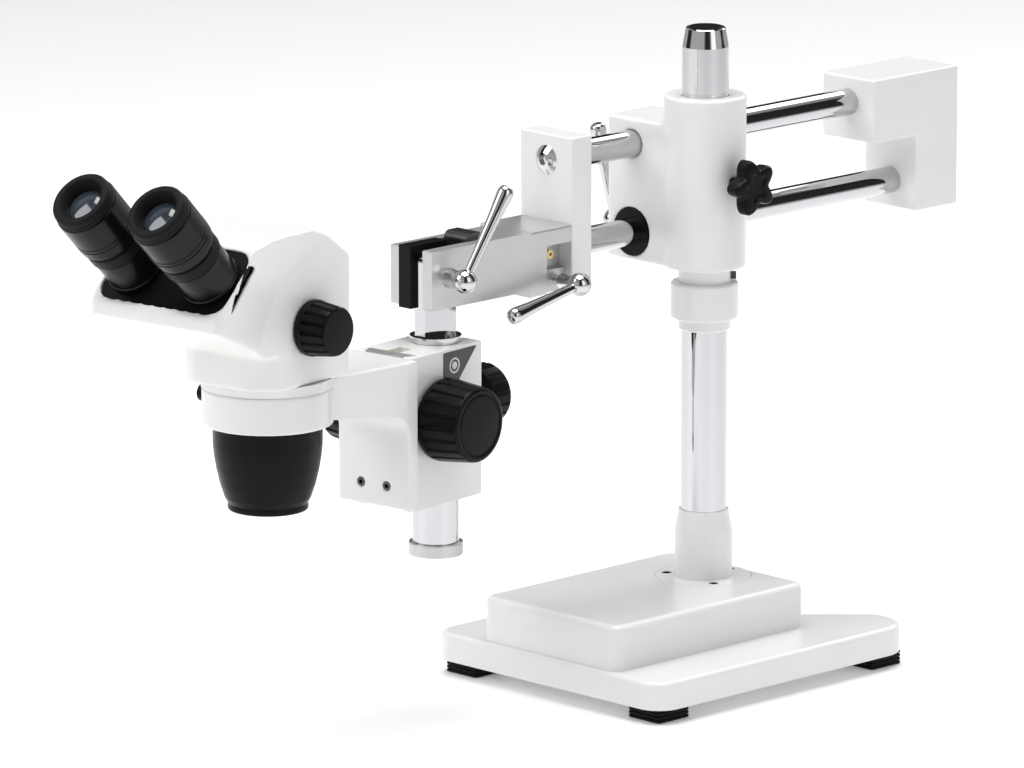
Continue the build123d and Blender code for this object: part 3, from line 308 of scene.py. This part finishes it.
def apply_modifiers(piece):
    graph = bpy.context.evaluated_depsgraph_get()
    mesh = bpy.data.meshes.new_from_object(piece.evaluated_get(graph))
    piece.modifiers.clear()
    piece.data = mesh
    return mesh


def soften_casting(node, piece_name, voxel, passes):
    """Casting made from a CAD node, its edges and inner corners rounded by remesh and smoothing."""
    source = frame["nodes"][node]
    piece = link_object(piece_name, source.data.copy())
    remesh = piece.modifiers.new("remesh", "REMESH")
    remesh.mode = "VOXEL"
    remesh.voxel_size = voxel * MM
    smooth = piece.modifiers.new("smooth", "SMOOTH")
    smooth.factor = 0.5
    smooth.iterations = passes
    final = apply_modifiers(piece)
    final.materials.clear()
    final.materials.append(MATERIALS[SLOTS[node]])
    for polygon in final.polygons:
        polygon.use_smooth = True
    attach(piece, source["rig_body"])
    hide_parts(node)
    return piece


def cut(piece, tool_mesh):
    """Cuts the tool's volume out of a finished piece for a clean edge."""
    tool = link_object("cutter", tool_mesh)
    knife = piece.modifiers.new("cut", "BOOLEAN")
    knife.operation = "DIFFERENCE"
    knife.solver = "EXACT"
    knife.object = tool
    apply_modifiers(piece)
    bpy.data.objects.remove(tool)


# ================================================================ castings and mouldings
PANEL_TO_RING = 33.0       # along the eyepieces, from the panel to the middle of the focusing ring
WINDOW = (106.8, 50.8)     # opening in the casing round the eyepiece panel
WINDOW_CORNER = 12.4
WINDOW_LOW, WINDOW_HIGH = -7.0, 12.0
CASING_SHARP = math.radians(50)


def panel_frame():
    """Frame on the eyepiece panel's outer face: X across the head, Z out along the eyepieces."""
    left, right = joint_place("left_diopter_turn"), joint_place("right_diopter_turn")
    out = joint_axis("left_diopter_turn")
    return axis_frame((left + right) / 2 - out * PANEL_TO_RING * MM, out, right - left)


head = soften_casting("head_shell", "head_casing", 1.1, 12)
cut(head, plate_mesh(panel_frame(), rounded_rectangle(*WINDOW, WINDOW_CORNER, 8), WINDOW_LOW, WINDOW_HIGH))
head.data.set_sharp_from_angle(angle=CASING_SHARP)
soften_casting("carriage", "carriage_casting", 1.3, 7)
soften_casting("focus_bracket", "bracket_casting", 1.1, 4)


# ================================================================ eyepieces
# Outlines of (radius, height above the eyepiece panel) along each eyepiece.
EYEPIECE = [
    (12.6, 8.0), (15.0, 8.0), (15.0, 38.6), (20.2, 38.6), (20.9, 39.4), (20.9, 40.6), (21.5, 41.2),
    (21.7, 46.0), (21.7, 47.2), (21.2, 47.6), (21.2, 48.4), (21.7, 48.8), (21.75, 50.4), (21.3, 50.8),
    (21.3, 51.6), (21.75, 52.0), (21.8, 71.0), (21.0, 72.0), (12.6, 72.0),
]
DIOPTER = [
    (17.05, 28.3), (19.8, 28.3), (20.5, 28.9), (20.5, 36.8), (19.6, 37.6), (17.05, 37.6),
]
EYECUP = [
    (12.6, 72.0), (20.9, 72.0), (21.2, 72.8), (21.2, 74.2), (20.7, 74.6), (20.9, 75.4), (20.6, 78.2),
    (19.6, 79.6), (18.2, 80.0), (16.0, 79.6), (14.9, 78.2), (13.4, 75.6),
]
EYETUBE = [
    (9.0, -6.0), (11.0, -6.0), (11.0, 0.3), (15.5, 0.3), (15.5, 2.9), (20.0, 2.9), (20.0, 4.6),
    (19.5, 5.2), (19.5, 26.6), (20.0, 27.2), (20.0, 28.0), (17.0, 28.0), (17.0, 37.6), (15.0, 37.6),
    (15.0, 6.0), (9.0, 6.0),
]
LENS = [
    (0.0, 67.0), (12.4, 67.0), (12.4, 71.4), (10.0, 72.6), (7.0, 73.3), (3.5, 73.7), (0.0, 73.8),
]
KNURL = fluted(60, 0.35, 29.0, 36.8, 0.0)
EDGE_BEVEL = 0.25


def eyepiece(side):
    name = side + "_diopter_turn"
    axis = joint_axis(name)
    place = axis_frame(joint_place(name) - axis * PANEL_TO_RING * MM, axis)
    body = side + "_eye"
    rows = (
        ("eyetube", EYETUBE, body, "black_metal", None),
        ("eyepiece", EYEPIECE, body, "black_metal", None),
        ("eyecup", EYECUP, body, "black_rubber", None),
        ("eye_lens", LENS, body, "glass", None),
        ("diopter_ring", DIOPTER, side + "_diopter", "black_plastic", KNURL),
    )
    for part, outline, rides_on, slot, rule in rows:
        mesh = lathe_mesh(outline, place, 240 if rule else 96, rule)
        piece = add_piece(side + "_" + part + "_piece", mesh, rides_on, slot, 30, 0.0 if rule else EDGE_BEVEL)
        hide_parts(side + "_" + part)


for side in ("left", "right"):
    eyepiece(side)


# ================================================================ knobs
# Outlines of (radius, height above the knob's inner face).
FOCUS_KNOB = [(0.0, 0.2)] + rounded([
    (4.0, 0.2), (26.6, 0.2), (27.9, 1.6), (28.3, 4.2), (28.2, 5.6), (25.6, 31.0), (25.2, 33.0),
    (23.6, 34.0), (21.8, 34.0), (21.2, 33.2), (20.4, 33.2), (19.8, 33.9), (4.0, 33.9),
], 0.7)[1:-1] + [(0.0, 33.9)]
ZOOM_KNOB = rounded([
    (0.0, 0.1), (18.2, 0.1), (18.9, 1.0), (18.9, 4.6), (18.1, 5.2), (18.4, 6.0), (16.5, 22.0),
    (15.2, 23.6), (0.0, 23.6),
], 0.6)
CLAMP_KNOB = rounded([
    (0.0, 0.1), (20.2, 0.1), (21.3, 1.4), (21.2, 17.6), (19.6, 19.8), (15.0, 19.9), (14.2, 18.8),
    (0.0, 18.6),
], 0.7)
CLAMP_STUD = [(0.0, -19.0), (3.4, -19.0), (3.9, -18.4), (3.9, 0.4), (0.0, 0.4)]
STAR = rounded([
    (0.0, -21.4), (3.9, -21.4), (3.9, -3.0), (8.0, -3.0), (8.0, 0.0), (17.8, 0.0), (19.8, 2.0),
    (19.8, 9.4), (18.0, 11.6), (10.5, 12.0), (8.8, 11.0), (0.0, 11.0),
], 0.8)
MARK = [(0.0, -0.4), (0.8, -0.4), (0.8, 0.05), (0.5, 0.12), (0.0, 0.14)]
FOCUS_FACE = 26.0          # from the middle of the shaft to a focus knob's inner face
ZOOM_FACE = 41.8           # from the middle of the head to a zoom knob's inner face
MARK_RADIUS = 18.85
MARK_HEIGHT = 2.6
MARK_ANGLES = (25, 52)
STAR_HUB = 9.0
STAR_ARMS = 5
STAR_WAVE = 0.185
FLUTE_DUTY = 0.35


def knob(name, place, outline, body, grooves, depth, low, high):
    rule = fluted(grooves, depth, low, high, FLUTE_DUTY)
    return add_piece(name, lathe_mesh(outline, place, grooves * 10, rule), body, "black_plastic", 40)


focus_axis = joint_axis("focus_turn")
for name, sign in (("near", 1), ("far", -1)):
    place = axis_frame(joint_place("focus_turn") + focus_axis * sign * FOCUS_FACE * MM, focus_axis * sign)
    piece = knob(name + "_focus_knob_piece", place, FOCUS_KNOB, "focus_drive", 20, 1.6, 5.0, 32.0)
    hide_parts(name + "_focus_knob")


def zoom_knob_frame(sign):
    axis = joint_axis("zoom_turn") * sign
    return axis_frame(joint_place("zoom_turn") + axis * ZOOM_FACE * MM, axis)


zoom_pieces = [
    knob(name + "_zoom_knob_piece", zoom_knob_frame(sign), ZOOM_KNOB, "zoom_drive", 16, 1.5, 5.6, 22.6)
    for name, sign in (("right", 1), ("left", -1))
]
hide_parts("zoom_knobs")


def index_marks():
    """Two raised index dots on the collar of each zoom knob."""
    for name, sign in (("right", 1), ("left", -1)):
        place = zoom_knob_frame(sign)
        middle = place @ Vector((0, 0, MARK_HEIGHT * MM))
        for number, degrees in enumerate(MARK_ANGLES):
            angle = math.radians(degrees)
            across = Vector((math.cos(angle), -sign * math.sin(angle), 0)) * MARK_RADIUS
            spot = place @ ((across + UP * MARK_HEIGHT) * MM)
            mesh = lathe_mesh(MARK, axis_frame(spot, spot - middle), 20)
            add_piece("zoom_mark_%s_%d" % (name, number), mesh, "zoom_drive", "mark_white")


index_marks()
clamp_place = axis_frame(joint_place("post_clamp_turn"), joint_axis("post_clamp_turn"))
clamp_knob = knob("post_clamp_knob_piece", clamp_place, CLAMP_KNOB, "post_clamp", 18, 1.4, 2.0, 18.6)
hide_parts("post_clamp_knob")
add_piece("post_clamp_stud", lathe_mesh(CLAMP_STUD, clamp_place, 32), "post_clamp", "steel")


def star_rule(radius, height, angle):
    if radius < STAR_HUB:
        return radius
    return radius * (1 - STAR_WAVE + STAR_WAVE * math.cos(STAR_ARMS * (angle - math.pi / 2)))


star_place = axis_frame(joint_place("column_lock_turn"), joint_axis("column_lock_turn"))
star = add_piece("star_knob_piece", lathe_mesh(STAR, star_place, 200, star_rule), "column_lock",
                 "black_plastic", 40)
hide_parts("star_knob")


# ================================================================ lock levers
HANDLE = rounded([
    (0.0, 0.0), (3.2, 0.0), (3.3, 8.0), (3.8, 30.0), (4.7, 52.0), (5.5, 62.0), (5.75, 65.5),
    (5.3, 68.3), (3.9, 70.1), (2.0, 70.7), (0.0, 70.8),
], 1.0)
BALL_R = 8.25
BALL_STEPS = 12
SHOULDER = 2.0             # step from a lever's screw to its hub
NECK_HEIGHT = -10.5
HANDLE_LEAN = math.radians(2.7)


def hub_outline(stand_off, reach, stud_radius):
    outline = [(0.0, -reach), (stud_radius, -reach), (stud_radius, -stand_off),
               (stud_radius + SHOULDER, -stand_off), (stud_radius + 1.4, NECK_HEIGHT)]
    start = math.asin((stud_radius + 1.2) / BALL_R)
    for k in range(BALL_STEPS + 1):
        angle = -math.pi / 2 + start + (math.pi - start) * k / BALL_STEPS
        radius = BALL_R * max(0.0, math.cos(angle)) if k < BALL_STEPS else 0.0
        outline.append((radius, BALL_R * math.sin(angle)))
    return outline


def lever(node, joint_name, body, outward, swing, stand_off, reach, stud_radius):
    """Ball lever: a hub and screw about the joint's axis, and a club-shaped handle.

    The handle points in the YZ plane, swing degrees from +Z towards +Y.
    """
    centre = joint_place(joint_name)
    outward = Vector(outward)
    towards = Vector((0, math.sin(math.radians(swing)), math.cos(math.radians(swing))))
    hub_mesh = lathe_mesh(hub_outline(stand_off, reach, stud_radius), axis_frame(centre, outward, towards), 48)
    hub = add_piece(node + "_hub", hub_mesh, body, "chrome", 40)
    along = towards * math.cos(HANDLE_LEAN) + outward * math.sin(HANDLE_LEAN)
    add_piece(node + "_handle", lathe_mesh(HANDLE, axis_frame(centre, along), 40), body, "chrome", 60)
    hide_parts(node)


lever("boom_lock_lever", "boom_lock_turn", "boom_lock", (-1, 0, 0), -12, 14.0, 28.0, 3.2)
lever("roll_lock_lever", "roll_lock_turn", "roll_lock", (1, 0, 0), -100, 17.0, 59.0, 3.2)
lever("tilt_lock_lever", "tilt_lock_turn", "tilt_lock", (1, 0, 0), 32, 14.0, 58.7, 5.0)


# ================================================================ badge on the focusing block
HOUSING_HALF = 24.2        # half width of the focusing block
BADGE_BACK = -21.4         # the badge's front edge, behind the post's axis
BADGE_DROP = 2.1           # below the block's top
BADGE_WIDTH = 35.0
BADGE_HEIGHT = 38.0
EMBLEM = (11.5, -10.0)
BADGE_RING = [(4.2, 0.2), (5.4, 0.2), (5.4, 0.5), (4.2, 0.5)]
BADGE_DISC = [(0.0, 0.2), (2.6, 0.2), (2.6, 0.5), (0.0, 0.5)]


def housing_badge():
    """Dark three-cornered plate with a plain ring, on the upper front corner of the near side."""
    corner = joint_place("housing_swivel")
    corner.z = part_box("focus_housing")[1][2] - BADGE_DROP * MM
    back = UP.cross(focus_axis)
    corner += (focus_axis * HOUSING_HALF + back * BADGE_BACK) * MM
    place = Matrix.Translation(corner) @ Matrix((back, UP, focus_axis)).transposed().to_4x4()
    middle = (BADGE_WIDTH / 2 - 0.5, 0)
    triangle = rounded([middle, (BADGE_WIDTH, 0), (0, -BADGE_HEIGHT), (0, 0), middle], 1.2)[:-1]
    add_piece("housing_badge", plate_mesh(place, triangle, -0.4, 0.35), "housing", "badge_grey", 30)
    emblem = place @ Matrix.Translation(Vector(EMBLEM).to_3d() * MM)
    add_piece("badge_ring", lathe_mesh(BADGE_RING, emblem, 48), "housing", "mark_white", 30)
    add_piece("badge_disc", lathe_mesh(BADGE_DISC, emblem, 48), "housing", "mark_white", 30)


housing_badge()


# ================================================================ rubber feet with ribs
FOOT_SIZE = 30.0
FOOT_CORNER = 2.5
RIBS = 4
RIB_INSET = 0.9
RIB_SHAPE = ((0.0, RIB_INSET), (0.18, 0.0), (0.72, 0.0), (0.9, RIB_INSET))


def ribbed_feet():
    low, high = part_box("rubber_feet")
    height = (high[2] - low[2]) / MM
    levels = [(height * (k + part) / RIBS, inset) for k in range(RIBS) for part, inset in RIB_SHAPE]
    levels.append((height, RIB_INSET))
    bm = bmesh.new()
    for x in (low[0] / MM + FOOT_SIZE / 2, high[0] / MM - FOOT_SIZE / 2):
        for y in (low[1] / MM + FOOT_SIZE / 2, high[1] / MM - FOOT_SIZE / 2):
            loops = []
            for z, inset in levels:
                side = FOOT_SIZE - 2 * inset
                outline = rounded_rectangle(side, side, FOOT_CORNER, 4)
                loops.append([Vector((x + dx, y + dy, z)) * MM for dx, dy in outline])
            add_stack(bm, loops)
    return finished_mesh("ribbed_feet", bm)


feet = add_piece("ribbed_feet", ribbed_feet(), "base", "black_rubber", 30)
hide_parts("rubber_feet")


# ================================================================ stage and light
FLOOR_HALF = 12.0
FLOOR_DROP = 0.0002
FLOOR_GLOW = 0.16
ROOM_STRENGTH = 0.60
ROOM_PALE = 0.95
BAND_DARK = 0.05
BAND_MIDDLES = (0.10, 0.40, 0.64, 0.86)
BAND_INNER, BAND_OUTER = 0.03, 0.055
ZENITH = 0.45

# Name, place and target from the column's foot in metres, size in metres, watts.
LIGHTS = (
    ("over", (0, -0.2, 3.5), (0, -0.2, 0), (2.6, 2.6), 120),
    ("key", (-1.4, -2.4, 2.2), (0, -0.1, 0.25), (1.8, 1.8), 36),
    ("side", (2.6, -0.2, 1.5), (0, -0.1, 0.25), (1.2, 2.0), 8),
    ("back", (-0.8, 2.6, 2.2), (0, -0.1, 0.3), (1.6, 1.6), 24),
)


def stage():
    bm = bmesh.new()
    bmesh.ops.create_grid(bm, x_segments=1, y_segments=1, size=FLOOR_HALF)
    mesh = bpy.data.meshes.new("floor")
    bm.to_mesh(mesh)
    bm.free()
    floor = link_object("floor", mesh)
    floor.location.z = -FLOOR_DROP
    surface = material("floor", (0.90, 0.90, 0.90), 0.55, tint=0.005, grain=60, bump=0.0)
    shader = surface.node_tree.nodes["Principled BSDF"]
    shader.inputs["Emission Color"].default_value = (1, 1, 1, 1)
    shader.inputs["Emission Strength"].default_value = FLOOR_GLOW
    mesh.materials.append(surface)


def grey(value):
    return (value, value, value, 1)


def upright_bands(tree, place):
    """Pale all round, with a few dark upright bands for polished metal to reflect."""
    radial = tree.nodes.new("ShaderNodeTexGradient")
    radial.gradient_type = "RADIAL"
    tree.links.new(place.outputs["Generated"], radial.inputs["Vector"])
    bands = tree.nodes.new("ShaderNodeValToRGB")
    stops = bands.color_ramp.elements
    for stop, position in zip(stops, (0.0, 1.0)):
        stop.position = position
        stop.color = grey(ROOM_PALE)
    edges = ((-BAND_OUTER, ROOM_PALE), (-BAND_INNER, BAND_DARK), (BAND_INNER, BAND_DARK), (BAND_OUTER, ROOM_PALE))
    for middle in BAND_MIDDLES:
        for offset, value in edges:
            stops.new(middle + offset).color = grey(value)
    tree.links.new(radial.outputs["Fac"], bands.inputs["Fac"])
    return bands


def darker_zenith(tree, place):
    split = tree.nodes.new("ShaderNodeSeparateXYZ")
    tree.links.new(place.outputs["Generated"], split.inputs["Vector"])
    height = tree.nodes.new("ShaderNodeValToRGB")
    low, high = height.color_ramp.elements
    low.position, low.color = 0.25, grey(1)
    high.position, high.color = 0.95, grey(ZENITH)
    tree.links.new(split.outputs["Z"], height.inputs["Fac"])
    return height


def world():
    """Pale banded room, seen as plain white where the camera sees past the floor."""
    sky = bpy.data.worlds.new("studio")
    bpy.context.scene.world = sky
    sky.use_nodes = True
    tree = sky.node_tree
    back = tree.nodes["Background"]
    place = tree.nodes.new("ShaderNodeTexCoord")
    both = tree.nodes.new("ShaderNodeMix")
    both.data_type = "RGBA"
    both.blend_type = "MULTIPLY"
    both.inputs["Factor"].default_value = 1.0
    tree.links.new(upright_bands(tree, place).outputs["Color"], both.inputs["A"])
    tree.links.new(darker_zenith(tree, place).outputs["Color"], both.inputs["B"])
    rays = tree.nodes.new("ShaderNodeLightPath")
    seen = tree.nodes.new("ShaderNodeMix")
    seen.data_type = "RGBA"
    tree.links.new(rays.outputs["Is Camera Ray"], seen.inputs["Factor"])
    tree.links.new(both.outputs["Result"], seen.inputs["A"])
    seen.inputs["B"].default_value = grey(1)
    tree.links.new(seen.outputs["Result"], back.inputs["Color"])
    back.inputs["Strength"].default_value = ROOM_STRENGTH


def area_light(name, place, target, size, power):
    data = bpy.data.lights.new(name, "AREA")
    data.shape = "RECTANGLE"
    data.size, data.size_y = size
    data.energy = power
    light = link_object(name, data)
    light.location = COLUMN + Vector(place)
    light.rotation_euler = (Vector(target) - Vector(place)).to_track_quat("-Z", "Y").to_euler()


# ================================================================ camera
AZIMUTH = math.radians(45.32)
ELEVATION = math.radians(12.53)
DISTANCE = 6.5
TARGET_HEIGHT = 0.25
TARGET_SIDE = -0.13205
TARGET_RISE = -0.05312
FOCAL_LENGTH = 333.0
SENSOR = 36.0


def camera():
    """Long lens aimed at a point beside the column, from the photograph's viewing angle."""
    right = Vector((math.cos(AZIMUTH), math.sin(AZIMUTH), 0))
    look = Vector((-math.sin(AZIMUTH) * math.cos(ELEVATION), math.cos(AZIMUTH) * math.cos(ELEVATION),
                   -math.sin(ELEVATION)))
    up = right.cross(look)
    data = bpy.data.cameras.new("camera")
    data.lens = FOCAL_LENGTH
    data.sensor_width = SENSOR
    data.clip_end = 100
    eye = link_object("camera", data)
    turn = Matrix((right, up, -look)).transposed().to_4x4()
    target = COLUMN + UP * TARGET_HEIGHT + right * TARGET_SIDE + up * TARGET_RISE
    eye.matrix_world = Matrix.Translation(target - look * DISTANCE) @ turn
    bpy.context.scene.camera = eye


stage()
world()
bpy.context.scene.view_settings.view_transform = "Standard"
for light in LIGHTS:
    area_light(*light)
camera()

bpy.context.view_layer.update()
